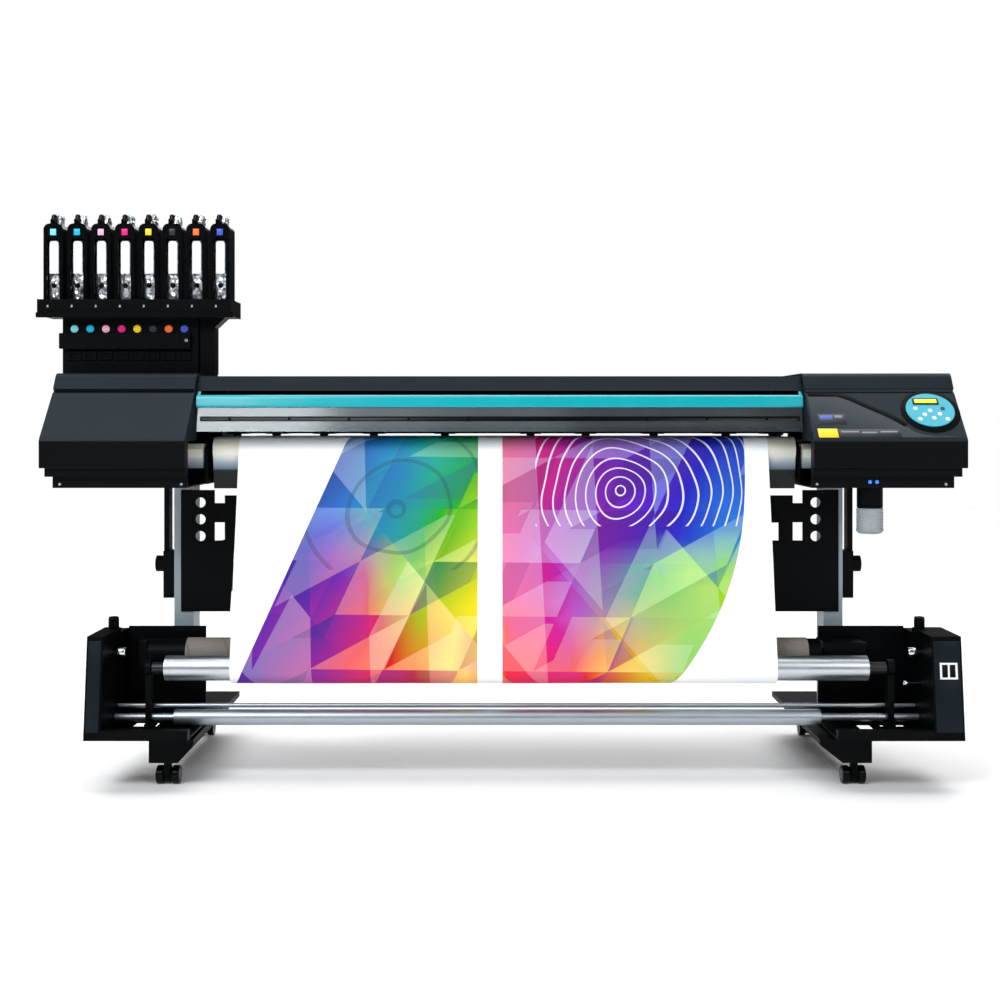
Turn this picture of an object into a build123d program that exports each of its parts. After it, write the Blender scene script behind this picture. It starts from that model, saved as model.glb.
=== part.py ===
from build123d import *
import math
import os

# Wide-format roll printer and cutter on a caster stand, with an ink pouch rack and a take-up unit.
# Working frame, in millimetres: X across the machine (+X is the operator's right), Y towards the
# back, Z up, floor at Z = 0. At the end every solid is moved so that the origin is at the centre
# of the bottom of the whole machine's box.

os.makedirs("parts", exist_ok=True)

# ---- driving dimensions ----------------------------------------------------------------------
left_end, right_end = -1289.0, 1288.0        # outer faces of the two side covers
bay_left, bay_right = -884.0, 861.0          # inner faces of the side covers, the print bay
cover_top, cover_bottom = 1146.0, 821.0      # side covers, height range
cover_rear, cover_front = 330.0, -330.0      # side covers, depth range
slope_top = (-209.0, 1088.0)                 # operator panel slope, upper edge (Y, Z)
slope_low = (-330.0, 956.0)                  # operator panel slope, lower edge (Y, Z)
wall = 4.0                                   # moulded cover wall
sheet = 3.0                                  # sheet metal
media_width = 1524.0                         # 60 inch web
media_thick = 0.6
platen_z = 962.0                             # printing surface
grit_y, grit_r = 10.0, 15.0                  # grit roller
nose_r = 36.0                                # rounded noses at the two ends of the platen
nose_z = platen_z - 1.0 - nose_r
front_nose_y, rear_nose_y = -140.0, 160.0
web_lean = 13.3                              # degrees from vertical, front run of the web
web_rise = 11.0                              # degrees from level, run from the loop to the core
loop_r = 41.0                                # slack loop under the tension roller
tension_y, tension_z, tension_r = -282.0, 315.0, 35.0
core_y, core_z, core_r, core_bore_r = -192.0, 343.0, 44.0, 38.1
wound_r = 52.0
supply_z, supply_r = 600.0, 75.0
supply_y = rear_nose_y + nose_r + 1.1 + supply_r + 0.9
leg_left, leg_right = (-979.0, -922.0), (952.0, 1009.0)   # X ranges of the two uprights
foot_top, foot_base = 134.0, 68.5
foot_front, foot_rear = -365.0, 320.0
wheel_r, wheel_w, wheel_gap = 25.0, 20.0, 24.0
caster_trail = 18.0
carriage_x = 1060.0                          # carriage centre at its home place on the right
rail_y, rail_low, rail_top = 40.0, 990.0, 1050.0
beam_y0, beam_y1, beam_z0, beam_z1 = 110.0, 250.0, 1000.0, 1090.0
belt_y, belt_r, belt_z0, belt_z1 = 75.0, 15.5, 1058.0, 1068.0
pulley_left, pulley_right = -1170.0, 1190.0
hinge_y, hinge_z, hinge_r = -180.0, 1088.0, 3.0           # front cover hinge
pinch_y, pinch_z = 70.0, 978.0                            # pinch lift shaft
pinch_wheel_z, pinch_wheel_r = 975.0, 12.0
pinch_x = [-802.0, -683.0, -540.0, -390.0, -176.0, 82.0, 248.0, 453.0, 670.0, 812.0]
pouch_x0, pouch_pitch, pouch_count = -1335.0, 70.6, 8
cartridge_x0, cartridge_pitch = -1271.0, 46.5
slot_r = 15.0                                # round holes in the leg plates
slot_z = [766.0, 716.0, 666.0]
run_gap = 0.06                               # radial running clearance
rocker_depth = 3.5                           # pivot of a switch rocker below its face

# operator keys: place across the machine and down the slope from its upper edge
keys = [
    (1163, -65), (1240, -65), (1203, -73), (1185, -88),
    (1228, -86), (1169, -105), (1209, -101), (1246, -105),
]
key_r = 6.5
pad_place, pad_size, pad_thick = (1204.0, -70.0), (136.0, 125.0), 5.0
lcd_place, lcd_size = (1195.0, -38.0), (63.0, 12.0)


# ---- helpers ---------------------------------------------------------------------------------
def ordered(a, b):
    return (min(a, b), max(a, b))


def block(x0, x1, y0, y1, z0, z1):
    size = Box(x1 - x0, y1 - y0, z1 - z0)
    return Pos((x0 + x1) / 2, (y0 + y1) / 2, (z0 + z1) / 2) * size


def rod_x(x0, x1, y, z, r):
    return Pos((x0 + x1) / 2, y, z) * Rot(0, 90, 0) * Cylinder(r, x1 - x0)


def rod_y(x, y0, y1, z, r):
    return Pos(x, (y0 + y1) / 2, z) * Rot(90, 0, 0) * Cylinder(r, y1 - y0)


def rod_z(x, y, z0, z1, r):
    return Pos(x, y, (z0 + z1) / 2) * Cylinder(r, z1 - z0)


def tube_x(x0, x1, y, z, r, bore):
    return rod_x(x0, x1, y, z, r) - rod_x(x0 - 1, x1 + 1, y, z, bore)


def prism_x(points, x0, x1, rounds=None):
    """Outline given as (Y, Z) points, drawn out along X; rounds is one radius per corner."""
    if rounds:
        line = FilletPolyline(*points, radius=rounds, close=True)
    else:
        line = Polyline(*points, close=True)
    return extrude(Plane.YZ.offset(x0) * make_face(line), x1 - x0)


def prism_y(points, y0, y1):
    """Outline given as (X, Z) points, drawn out along Y."""
    plane = Plane(origin=(0, y1, 0), x_dir=(1, 0, 0), z_dir=(0, -1, 0))
    return extrude(plane * make_face(Polyline(*points, close=True)), y1 - y0)


def one(shape):
    """The single solid of a finished piece."""
    found = shape.solids()
    if len(found) != 1:
        raise ValueError(f"expected one solid, found {len(found)}")
    return found[0]


def slope_plane(across, down):
    """Plane lying on the operator slope: local X across, local Y up the slope, local Z outwards."""
    run_y, run_z = slope_low[0] - slope_top[0], slope_low[1] - slope_top[1]
    length = math.hypot(run_y, run_z)
    place = (across, slope_top[0] - run_y / length * down, slope_top[1] - run_z / length * down)
    return Plane(origin=place, x_dir=(1, 0, 0), z_dir=(0, run_z / length, -run_y / length))


# ---- frame -----------------------------------------------------------------------------------
def base_frame():
    beam = block(-1000, 1030, -80, 80, 826, 915) - block(-995, 1025, -75, 75, 831, 910)
    for x0, x1 in ((-862, -854), (850, 858)):
        side = [
            (-165, 826), (250, 826), (250, beam_z0), (112, beam_z0), (112, 958), (-100, 958),
            (-120, 942), (-165, 930),
        ]
        plate = prism_x(side, x0, x1) - block(x0 - 1, x1 + 1, -74, 74, 832, 909)
        beam += plate
    beam -= rod_x(-870, 870, grit_y, platen_z - grit_r, 6 + run_gap)
    return one(beam)


def main_beam():
    outer = block(-1240, 1240, beam_y0, beam_y1, beam_z0, beam_z1)
    return one(outer - block(-1250, 1250, beam_y0 + 4, beam_y1 - 4, beam_z0 + 4, beam_z1 - 4))


def guide_rail():
    x0, x1 = -1130, 1225
    body = block(x0, x1, rail_y, beam_y0, rail_low, rail_top)
    body -= block(x0 - 1, x1 + 1, rail_y - 1, rail_y + 10, 1008, 1023)
    body -= block(x0 - 1, x1 + 1, rail_y + 16, beam_y0 - 8, rail_low + 6, rail_top - 6)
    body += block(x0, x1, 28, rail_y + 10, 1011, 1020)
    for side in (-852, 848):
        ear = block(side - 5, side + 5, pinch_y - 14, pinch_y + 14, pinch_z - 14, rail_low)
        body += ear - rod_x(side - 6, side + 6, pinch_y, pinch_z, 8 + run_gap)
    return one(body)


def platen():
    """Front bed with its cutting groove, rear bed, and the rounded rear guide."""
    x0, x1 = -838, 843
    front = block(x0, x1, front_nose_y, grit_y - grit_r - 4, 940, platen_z)
    front += block(x0, x1, -60, -50, 915, 940)
    front -= block(x0 - 1, x1 + 1, -98, -92, platen_z - 3, platen_z + 1)
    rear = block(x0, x1, grit_y + grit_r + 4, rear_nose_y, 940, platen_z)
    rear += block(x0, x1, 50, 60, 915, 940)
    ring = tube_x(x0, x1, rear_nose_y, nose_z, nose_r, nose_r - sheet)
    ring &= block(x0, x1, rear_nose_y, rear_nose_y + 50, nose_z, nose_z + 50)
    ring += block(x0, x1, rear_nose_y + nose_r - sheet, rear_nose_y + nose_r, 880, nose_z)
    return [one(front), one(rear), one(ring)]


def apron():
    """Heated front nose that turns the web down, and the skirt below it."""
    x0, x1 = -838, 843
    ring = tube_x(x0, x1, front_nose_y, nose_z, nose_r, nose_r - sheet)
    ring &= block(x0, x1, front_nose_y - 50, front_nose_y, nose_z - 22, nose_z + 50)
    low = (front_nose_y - math.sqrt(nose_r ** 2 - 22 ** 2), nose_z - 22)
    skirt = [
        (low[0], low[1]), (low[0] + 4, low[1]), (-151, 813), (-155, 813),
    ]
    return one(ring + prism_x(skirt, x0, x1))


def apron_ends():
    pieces = []
    for x0, x1 in ((-915, -867), (862, 912)):
        body = prism_x([(-176, 872), (-120, 872), (-120, 942), (-160, 942), (-176, 926)], x0, x1)
        pieces.append(one(body))
    return pieces


# ---- covers ----------------------------------------------------------------------------------
def side_cover(inner, outer):
    """Shell with a sloped front, stepped in towards the bottom and open to the print bay."""
    way = 1 if outer > inner else -1

    def span(points, cut_back, rounds=None, gap=0.0):
        a, b = inner + way * gap, outer - way * cut_back
        return prism_x(points, min(a, b), max(a, b), rounds)

    shell = span(
        [
            (cover_rear, cover_top), (-176, cover_top), (-205, 1100), (-199, 1098), (-199, 1091),
            slope_top, slope_low, (cover_front, 877), (cover_rear, 877),
        ],
        0, [14, 26, 2, 0.5, 0.5, 3, 14, 3, 3],
    )
    shell += span([(cover_rear - 12, 853), (-318, 853), (-318, 880), (cover_rear - 12, 880)], 12)
    foot_line = [
        (cover_rear - 30, cover_bottom), (-300, cover_bottom), (-300, 856), (cover_rear - 30, 856),
    ]
    shell += span(foot_line, 29)
    room = span(
        [
            (cover_rear - wall, cover_top - wall), (-176, cover_top - wall), (-194, 1104),
            (-194, 1088), (-204, 1084), (-325, 952), (-326, 881), (cover_rear - wall, 881),
        ],
        wall, gap=wall,
    )
    room += span([(cover_rear - 16, 857), (-314, 857), (-314, 890), (cover_rear - 16, 890)], 16, gap=wall)
    room += span([(cover_rear - 34, 825), (-296, 825), (-296, 860), (cover_rear - 34, 860)], 33, gap=wall)
    a, b = inner - way, inner + way * (wall + 1)
    x0, x1 = min(a, b), max(a, b)
    door = block(x0, x1, -175, 270, 950, 1125) + block(x0, x1, -290, 270, 860, 951)
    door += block(x0, x1, -290, 270, 825, 861)
    return shell - room - door


def left_cover():
    body = side_cover(bay_left, left_end)
    return one(body - block(-1182, -1072, cover_rear - 6, cover_rear + 1, 902, 938))


def right_cover():
    body = side_cover(bay_right, right_end)
    return one(body - block(898, 922, cover_rear - 6, cover_rear + 1, 912, 994))


def top_cover():
    """Bent sheet over the print bay, with an end tab and hinge pin at each side."""
    x0, x1 = bay_left + 1, bay_right - 1
    skin = [
        (-183, 1095), (-152, 1138), (300, 1138), (300, 1008), (297, 1008), (297, 1135),
        (-150.5, 1135), (-179.3, 1095),
    ]
    body = prism_x(skin, x0, x1)
    tab = [(-186, 1082), (-174, 1082), (-172, 1106), (-179, 1099)]
    pin = 10.0
    for end, way in ((x0, 1), (x1, -1)):
        a, b = ordered(end, end + way * 3)
        body += prism_x(tab, a, b)
        a, b = ordered(end + way, end + way * (3 + pin))
        body += rod_x(a, b, hinge_y, hinge_z, hinge_r)
    return one(body)


def front_cover():
    """Handle bar along the top of the lifting cover, with an ear for each hinge pin."""
    x0, x1 = bay_left + 6, bay_right - 5
    bar_line = [(-214, 1046), (-190, 1046), (-188, 1083), (-206, 1083)]
    body = prism_x(bar_line, x0, x1, [6, 3, 5, 12])
    for a, b in ((x0, x0 + 8), (x1 - 8, x1)):
        ear = [
            (-197, 1066), (-182, 1082), (-175, 1086), (-175, 1090), (-178, 1093), (-183, 1093),
            (-186, 1090), (-201, 1077),
        ]
        body += prism_x(ear, a, b)
    return one(body - rod_x(x0 - 1, x1 + 1, hinge_y, hinge_z, hinge_r + run_gap))


def cover_window():
    line = [(-211, 1046), (-206, 1046), (-232, 978), (-237, 978)]
    return one(prism_x(line, bay_left + 12, bay_right - 11))


# ---- printing and cutting --------------------------------------------------------------------
def carriage():
    x0, x1 = carriage_x - 100, carriage_x + 100
    case = block(x0, x1, -135, -10, 985, 1085)
    case = fillet(case.edges().filter_by(Axis.X).group_by(Axis.Z)[-1], 14)
    case -= block(x0 + 3, x1 - 3, -132, -13, 990, 1080)
    case += block(x0 + 20, x1 - 20, -10, 20, 1000, 1076)
    for side in (x0 + 45, x1 - 45):
        shoe = block(side - 25, side + 25, 20, 38, 1001, 1030)
        case += shoe - block(side - 26, side + 26, 27.5, 39, 1010.5, 1020.5)
    clamp = block(carriage_x - 20, carriage_x + 20, 20, 65, 1053, 1074)
    clamp -= block(carriage_x - 21, carriage_x + 21, 57.3, 60.2, belt_z0 - 0.6, belt_z1 + 0.6)
    tool = block(x0 - 24, x0, -112, -78, 992, 1040)
    tool -= rod_z(x0 - 12, -95, 980, 1050, 7 + run_gap)
    return one(case + clamp + tool)


def print_heads():
    heads = []
    for middle, back in ((carriage_x - 45, -35), (carriage_x + 45, -50)):
        heads.append(one(block(middle - 32, middle + 32, back - 75, back, 967, 985)))
    return heads


def blade_holder():
    x = carriage_x - 112
    barrel = rod_z(x, -95, 978, 1058, 7) + rod_z(x, -95, 1046, 1054, 10)
    return one(barrel + Pos(x, -95, 973) * Cone(1.0, 5.0, 10))


def belt_drive():
    """Carriage belt, carriage motor on its bracket, idler bracket and feed motor."""
    outer = block(pulley_left, pulley_right, belt_y - belt_r - 1.5, belt_y + belt_r + 1.5, belt_z0, belt_z1)
    inner = block(pulley_left, pulley_right, belt_y - belt_r, belt_y + belt_r, belt_z0 - 1, belt_z1 + 1)
    for x in (pulley_left, pulley_right):
        outer += rod_z(x, belt_y, belt_z0, belt_z1, belt_r + 1.5)
        inner += rod_z(x, belt_y, belt_z0 - 1, belt_z1 + 1, belt_r)
    pieces = [one(outer - inner)]
    for x in (pulley_left, pulley_right):
        plate = block(x - 28, x + 28, belt_y - 28, 190, beam_z1, beam_z1 + 4)
        plate += rod_z(x, belt_y, 1054, beam_z1, 4)
        if x == pulley_right:
            plate += rod_z(x, belt_y, beam_z1 + 4, 1134, 24)
        pieces.append(one(plate))
    motor = rod_x(905, 968, grit_y, platen_z - grit_r, 22) + block(925, 950, -4, 24, 915, 935)
    pieces.append(one(motor))
    return pieces


def belt_pulley(x):
    wheel = rod_z(x, belt_y, belt_z0 - 1.5, belt_z1 + 1.5, belt_r - 0.3)
    wheel += rod_z(x, belt_y, belt_z1 + 1.5, belt_z1 + 4, belt_r + 3)
    return one(wheel - rod_z(x, belt_y, belt_z0 - 5, belt_z1 + 10, 4 + run_gap))


def grit_roller():
    z = platen_z - grit_r
    roller = rod_x(-836, 841, grit_y, z, grit_r - 0.2) + rod_x(-868, 904.5, grit_y, z, 6)
    return one(roller)


def pinch_arms():
    """Lift shaft with one forked arm per pinch wheel, and the loading lever on its right end."""
    body = rod_x(-865, 918, pinch_y, pinch_z, 8)
    for x in pinch_x:
        arm = block(x - 31, x + 31, 0, 74, 969, 984)
        arm -= block(x - 12.6, x + 12.6, -1, 26, 960, 990)
        arm -= rod_x(x - 32, x + 32, grit_y, pinch_wheel_z, 3 + run_gap)
        body += arm
    body += block(905, 915, pinch_y, 352, 972, 984)
    body += rod_y(910, 350, 398, 978, 11)
    return one(body)


def pinch_wheels():
    wheels = []
    for x in pinch_x:
        wheel = rod_x(x - 12, x + 12, grit_y, pinch_wheel_z, pinch_wheel_r)
        wheels.append(one(wheel + rod_x(x - 27, x + 27, grit_y, pinch_wheel_z, 3)))
    return wheels


# ---- inside the side covers ------------------------------------------------------------------
def maintenance_station():
    """Capping and wiping station under the parked carriage, and the waste bottle's holder."""
    base = block(940, 1240, -170, -100, 845, 940) + block(1060, 1240, -101, -30, 845, 940)
    for middle, back in ((carriage_x - 45, -100), (carriage_x + 45, -50)):
        base += block(middle - 34, middle + 34, back - 50, back, 939, 962)
    base += block(1180, 1190, -150, -60, 939, 964)
    holder = rod_z(1036, -250, 764, cover_bottom, 36) - rod_z(1036, -250, 760, 800, 31)
    return [one(base), one(holder)]


def electronics_box():
    """Closed control box, and the mains inlet module set in the rear wall of the left cover."""
    box = block(-1230, -1020, -200, 250, 842, 952)
    box -= block(-1227, -1023, -197, 251, 845, 949)
    inlet = block(-1181, -1073, cover_rear - 30, cover_rear, 903, 937)
    inlet += block(-1188, -1066, cover_rear, cover_rear + 2, 897, 943)
    inlet -= block(-1176, -1132, cover_rear - 18, cover_rear + 3, 908, 932)
    inlet -= block(-1114, -1084, cover_rear - 14, cover_rear + 3, 906, 934)
    for x in (-1166, -1154, -1142):
        inlet += block(x - 2, x + 2, cover_rear - 19, cover_rear - 4, 917, 923)
    return [one(box), one(inlet)]


def rocker(width, height, depth):
    """Switch rocker about its own middle: two faces meeting at a shallow ridge's valley."""
    half = height / 2
    line = [(-half, 1.6), (0, 0), (half, 1.6), (half - 1, -depth), (-half + 1, -depth)]
    face = Plane(origin=(-width / 2, 0, 0), x_dir=(0, 1, 0), z_dir=(1, 0, 0))
    bore = Pos(0, 0, -rocker_depth) * Rot(0, 90, 0) * Cylinder(1.5, width + 2)
    return extrude(face * make_face(Polyline(*line, close=True)), width) - bore


def power_switch():
    seat = Plane(origin=(-1099, cover_rear + 0.5, 920), x_dir=(-1, 0, 0), z_dir=(0, 1, 0))
    return one(seat * rocker(28, 26, 7))


# ---- operator panel --------------------------------------------------------------------------
def control_panel():
    pad = extrude(Ellipse(pad_size[0] / 2, pad_size[1] / 2), pad_thick)
    for across, down in keys:
        hole = Cylinder(key_r + 0.3, 20)
        pad -= Pos(across - pad_place[0], down - pad_place[1], 0) * hole
    lcd_at = Pos(lcd_place[0] - pad_place[0], lcd_place[1] - pad_place[1], pad_thick - 1)
    screen = lcd_at * Box(lcd_size[0], lcd_size[1], 2)
    pad -= screen
    plane = slope_plane(*pad_place)
    return [one(plane * pad), one(plane * screen)]


def button(across, down):
    cap = Cylinder(key_r, 5)
    cap = fillet(cap.edges().group_by(Axis.Z)[-1], 1.2)
    return one(slope_plane(across, down) * (Pos(0, 0, 4.1) * cap))


# ---- ink supply ------------------------------------------------------------------------------
def cartridge_bay():
    """Slotted housing on the left cover, its front bar, and one cartridge in each slot."""
    body = block(-1306, -904, -60, 230, cover_top, 1318) - block(-1302, -908, -54, 226, 1150, 1184)
    body -= block(-1302, -908, -54, 231, 1228, 1314)
    pieces = []
    for i in range(pouch_count):
        x = cartridge_x0 + i * cartridge_pitch
        body -= block(x - 20, x + 20, -61, 180, 1188, 1220)
        cart = block(x - 19.5, x + 19.5, -64, 178, 1188.5, 1214)
        cart -= block(x - 12, x + 12, -65, -60, 1194, 1209)
        pieces.append(one(cart))
    body += block(-1313, -925, -74, -60, 1222, 1268)
    return [one(body)] + pieces


def ink_rack():
    """Open tray that carries the pouch holders, its lip, and the column below its right end."""
    tray = block(-1370, -800, -98, 58, 1318, 1366) - block(-1366, -804, -94, 54, 1324, 1367)
    tray += block(-1372, -794, -104, -98, 1312, 1327)
    tray += prism_y([(-899, 1148), (-857, 1148), (-857, 1285), (-822, 1318), (-899, 1318)], -55, 5)
    return one(tray)


def pouch_holder(x):
    shape = block(x - 29, x + 29, -58, 24, 1324.5, 1594)
    shape = fillet(shape.edges().filter_by(Axis.Y).group_by(Axis.Z)[-1], 18)
    shape -= block(x - 26, x + 26, -55, 21, 1328, 1586)
    shape -= block(x - 18, x + 18, -59, -50, 1368, 1548)
    return one(shape - rod_z(x, -17, 1580, 1600, 13))


def ink_pouch(x):
    bag = block(x - 24, x + 24, -44, 10, 1330, 1560)
    bag = fillet(bag.edges().filter_by(Axis.Z), 16)
    neck = rod_z(x, -17, 1560, 1612, 11) + Pos(x, -17, 1619.5) * Cone(11, 5, 15)
    return one(bag + neck)


# ---- stand -----------------------------------------------------------------------------------
def stand_legs():
    """Two upright posts with top plates, and the cross beam between them."""
    pieces = []
    for x0, x1 in (leg_left, leg_right):
        post = block(x0, x1, -45, 45, foot_top, 815) - block(x0 + 4, x1 - 4, -41, 41, foot_top - 1, 815)
        post += block(x0 - 8, x1 + 8, -120, 120, 815, cover_bottom)
        pieces.append(one(post))
    beam = block(leg_left[1], leg_right[0], -30, 30, 500, 580)
    pieces.append(one(beam - block(leg_left[1] - 1, leg_right[0] + 1, -27, 27, 503, 577)))
    return pieces


def stand_feet():
    """Folded channel along each side, closed at both ends, that carries a post and two casters."""
    pieces = []
    for outer, base, inner in ((-975, -895, -852), (1012, 932, 869)):
        way = 1 if inner > outer else -1
        line = [(outer, foot_base), (base, foot_base), (inner, 118), (inner, foot_top), (outer, foot_top)]
        room = [
            (outer + way * 4, foot_base + 4), (base, foot_base + 4), (inner - way * 4, 120),
            (inner - way * 4, foot_top - 4), (outer + way * 4, foot_top - 4),
        ]
        foot = prism_y(line, foot_front, foot_rear)
        pieces.append(one(foot - prism_y(room, foot_front + 4, foot_rear - 4)))
    return pieces


def leg_plate(outer, hole_x, far, near, inner, low_inner):
    """Front plate on a post, with three round holes, a window and a notch in its upper edge."""
    points = [
        (outer, 803), (far, 803), (far, 764), (near, 764), (near, 787), (inner, 787), (low_inner, 442),
        (outer, 442),
    ]
    plate = prism_y(points, -49, -45)
    for z in slot_z:
        plate -= rod_y(hole_x, -60, -30, z, slot_r)
    a, b = ordered(far, near)
    return plate - block(a, b, -60, -30, 653, 707)


def leg_bracket(face, way):
    """Bar and clamp on the outer side of a post, with its hand knob. The face is the post's side."""
    a, b = ordered(face, face + way * 36)
    body = block(a, b, -30, 30, 480, 620)
    a, b = ordered(face + way * 20, face + way * 36)
    body += block(a, b, -20, 20, 615, 812)
    a, b = ordered(face + way * 36, face + way * 62)
    return one(body + rod_x(a, b, 0, 580, 24))


def leg_plates():
    right = leg_plate(996, 928, 889, 860, 785, 805) - block(775, 818, -60, -30, 653, 706)
    pieces = [one(leg_plate(-958, -900, -858, -828, -790, -812)), one(right)]
    pieces.append(leg_bracket(leg_left[0], -1))
    pieces.append(leg_bracket(leg_right[1], 1))
    return pieces


def caster_fork(x, y):
    """Swivel stem and the hood between the twin wheels."""
    axle_y = y + caster_trail
    body = rod_z(x, y, 30, foot_base - 0.3, 9.5) + rod_x(x - 10, x + 10, axle_y, wheel_r, 20)
    body += block(x - 9, x + 9, y - 6, axle_y, 26, 56)
    return one(body - rod_x(x - 11, x + 11, axle_y, wheel_r, 4 + run_gap))


def caster_wheels(x, y):
    axle_y = y + caster_trail
    body = rod_x(x - 28, x + 28, axle_y, wheel_r, 4)
    for way in (-1, 1):
        a, b = ordered(x + way * wheel_gap / 2, x + way * (wheel_gap / 2 + wheel_w))
        tyre = rod_x(a, b, axle_y, wheel_r, wheel_r)
        body += fillet(tyre.edges().filter_by(GeomType.CIRCLE), 3)
    return one(body)


# ---- take-up unit ----------------------------------------------------------------------------
def takeup_housing(outer, box_inner, plate_inner, floor_inner, slots):
    """Outer box, back plate, slotted floor and front lip of one end of the take-up unit."""
    side = [(-124, 143), (-124, 405), (-213, 405), (-213, 420), (-391, 420), (-428, 143)]
    room = [(-123, 147), (-123, 401), (-217, 401), (-217, 416), (-387, 416), (-423, 147)]
    a, b = ordered(outer, box_inner)
    body = prism_x(side, a, b) - prism_x(room, a + 4, b - 4)
    a, b = ordered(box_inner, plate_inner)
    body += block(a, b, -128, -124, 143, 411)
    a, b = ordered(box_inner, floor_inner)
    body += block(a, b, -401, -126, 143, 147)
    body += block(a, b, -428, -400, 143, 170)
    for x0, x1, y0, y1 in slots:
        body -= block(x0, x1, y0, y1, 140, 150)
    return body


def takeup_housings():
    left = takeup_housing(-1137, -1092, -867, -855, [(-1048, -979, -262, -204)])
    right = takeup_housing(1248, 1166, 917, 905, [(998, 1038, -294, -232), (1063, 1134, -262, -232)])
    for x in (1199.5, 1220.5):
        right -= block(x - 8, x + 8, -440, -380, 311, 345)
    return [one(left), one(right)]


def takeup_rocker(x):
    lean = math.atan2(37, 277)
    face_y = -391 - 37 * (420 - 328) / 277
    seat = Plane(origin=(x, face_y - 0.5, 328), x_dir=(1, 0, 0), z_dir=(0, -math.cos(lean), math.sin(lean)))
    return one(seat * rocker(14.6, 30, 7))


def tie_rods():
    """Thin rod, and the thick tube with a thinner bar at each end."""
    thin = rod_x(-1090, 1164, -250, 204, 6.5)
    tube = rod_x(-1090, 1164, -280, 177, 11) + tube_x(-922, 888, -280, 177, 22, 19)
    for x in (-917, 883):
        tube += rod_x(x - 5, x + 5, -280, 177, 20)
    return [one(thin), one(tube)]


def takeup_mounts():
    """Spacers on the feet, bearing posts of the tension roller, core bearing and gearbox."""
    pieces = []
    for x0, x1 in ((-960, -900), (930, 1000)):
        pieces.append(one(block(x0, x1, -360, -150, foot_top, 143)))
    for x0, x1 in ((-1001, -986), (1074, 1092)):
        post = block(x0, x1, -300, -264, 147, 315) + rod_x(x0, x1, tension_y, tension_z, 25)
        post += block(x0 - 4, x1 + 4, -300, -236, 147, 160) - block(x0 - 5, x1 + 5, -301, -235, 160, 170)
        post -= rod_x(x0 - 6, x1 + 6, tension_y, tension_z, 8 + run_gap)
        post -= rod_x(x0 - 6, x1 + 6, -280, 177, 11.1)
        pieces.append(one(post))
    bearing = block(-1038, -1016, -222, -128, 306, 380)
    pieces.append(one(bearing - rod_x(-1040, -1014, core_y, core_z, 12 + run_gap)))
    gearbox = block(911, 1030, -238, -128, 302, 378)
    pieces.append(one(gearbox - rod_x(910, 962, core_y, core_z, 12 + run_gap)))
    for x in (-1108, 1182):
        pieces.append(one(rod_z(x, -230, 420, 446, 15)))
    return pieces


def tension_roller():
    body = tube_x(-947, 1019, tension_y, tension_z, tension_r, tension_r - 3)
    for x0, x1 in ((-984, -941), (1013, 1072)):
        body += rod_x(x0, x1, tension_y, tension_z, 17)
    for x in (-944, 1016):
        body += rod_x(x - 3, x + 3, tension_y, tension_z, tension_r - 1)
    return one(body + rod_x(-1001, 1092, tension_y, tension_z, 8))


def takeup_core():
    return one(tube_x(-905, 868, core_y, core_z, core_r, core_bore_r))


def core_holders():
    plug_r = core_bore_r - 0.1
    left = rod_x(-1012, -907, core_y, core_z, 41) + rod_x(-907, -858, core_y, core_z, plug_r)
    left += rod_x(-1036, -1012, core_y, core_z, 12)
    right = rod_x(870, 905, core_y, core_z, 41) + rod_x(822, 870, core_y, core_z, plug_r)
    right += rod_x(905, 958, core_y, core_z, 12)
    return [one(left), one(right)]


def wound_media():
    half = media_width / 2
    return one(tube_x(-half, half, core_y, core_z, wound_r, core_r))


# ---- media feed ------------------------------------------------------------------------------
def supply_roll():
    """Fresh roll on its core, carried by a shaft with two flanges."""
    half = media_width / 2
    roll = tube_x(-half, half, supply_y, supply_z, supply_r, core_r)
    core = tube_x(-half - 12, half + 12, supply_y, supply_z, core_r, core_bore_r)
    shaft = rod_x(-908, 908, supply_y, supply_z, 12)
    for x in (-half - 20, half + 20):
        shaft += rod_x(x - 5, x + 5, supply_y, supply_z, 60)
    for x in (-half, half):
        shaft += rod_x(x - 18, x + 18, supply_y, supply_z, core_bore_r - 0.1)
    return [one(roll), one(core), one(shaft)]


def roll_holders():
    """Arms on the backs of the posts with an open saddle for the supply shaft."""
    pieces = []
    for post, face, way in ((-950, -900, 1), (980, 900, -1)):
        a, b = ordered(face, face + way * 12)
        arm = block(a, b, 45, supply_y + 24, 576, 626)
        a, b = ordered(post - way * 10, face + way * 6)
        arm += block(a, b, 45, 57, 576, 626)
        arm -= rod_x(face - 20, face + 20, supply_y, supply_z, 12.3)
        arm -= block(face - 20, face + 20, supply_y - 12.3, supply_y + 12.3, supply_z, 640)
        pieces.append(one(arm))
    return pieces


def web_line():
    """Middle line of the web in (Y, Z), from the supply roll to the wound roll, and its radii."""
    bend = nose_r + 1.1 + media_thick / 2
    level = nose_z + bend
    lean = math.radians(web_lean)
    corner_y = front_nose_y - bend * math.tan((math.pi / 2 - lean) / 2)
    rise = math.radians(web_rise)
    away = wound_r + 0.9
    end_y = core_y + away * math.sin(rise)
    end_z = core_z - away * math.cos(rise)
    drop = (level - end_z + (end_y - corner_y) * math.tan(rise)) / (1 - math.tan(lean) * math.tan(rise))
    low_y, low_z = corner_y - math.tan(lean) * drop, level - drop
    back_y = rear_nose_y + bend
    points = [(back_y, supply_z), (back_y, level), (corner_y, level), (low_y, low_z), (end_y, end_z)]
    return points, [bend, bend, loop_r]


def media_web():
    points, radii = web_line()
    half = media_width / 2
    middle = Plane.YZ.offset(-half) * FilletPolyline(*points, radius=radii)
    face = make_face(middle.wires()[0].offset_2d(media_thick / 2, side=Side.BOTH))
    return one(extrude(face, media_width))


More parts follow.
